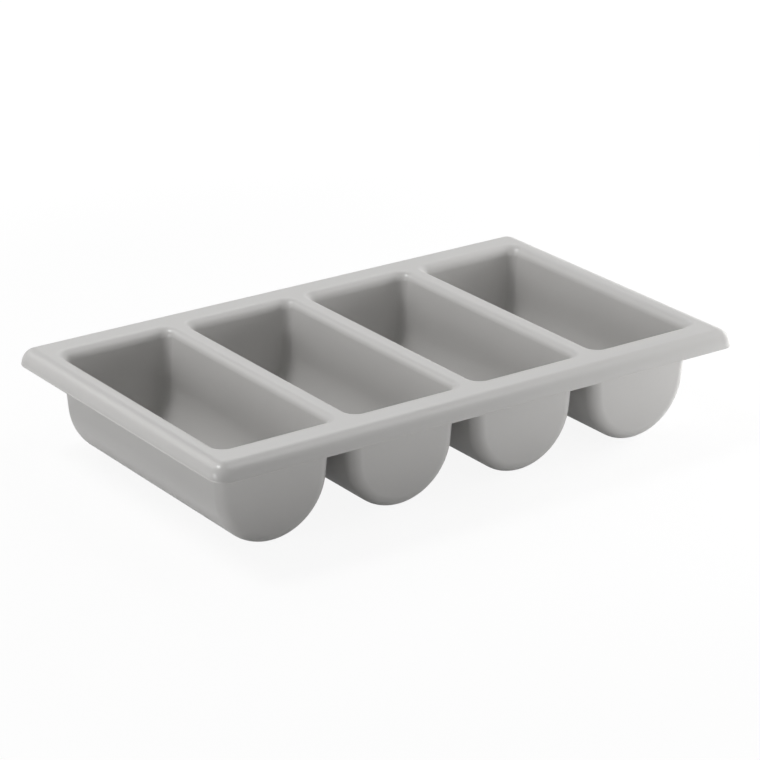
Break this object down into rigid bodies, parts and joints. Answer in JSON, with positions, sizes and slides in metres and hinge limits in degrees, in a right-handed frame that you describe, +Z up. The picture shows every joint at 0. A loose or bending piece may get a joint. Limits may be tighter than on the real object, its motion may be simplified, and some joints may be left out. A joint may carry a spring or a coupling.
{
  "type": "cutlery dispenser tray",
  "caption": "Light grey moulded plastic cutlery tray with long round-bottomed bins side by side under one wide rolled rim.",
  "frame": {"origin": "centre of the footprint, on the surface that the bins stand on", "axes": "+X along the row of bins, +Y along each bin towards the back rim, +Z up out of the bins"},
  "size_m": [0.53, 0.325, 0.097],
  "materials": {
    "moulding": "light grey polypropylene with a satin moulded surface"
  },
  "bodies": {
    "root": {"bin_1": "moulding", "bin_2": "moulding", "bin_3": "moulding", "bin_4": "moulding", "divider_1": "moulding", "divider_2": "moulding", "divider_3": "moulding", "front_rim": "moulding", "back_rim": "moulding", "left_rim": "moulding", "right_rim": "moulding"}
  },
  "joints": []
}
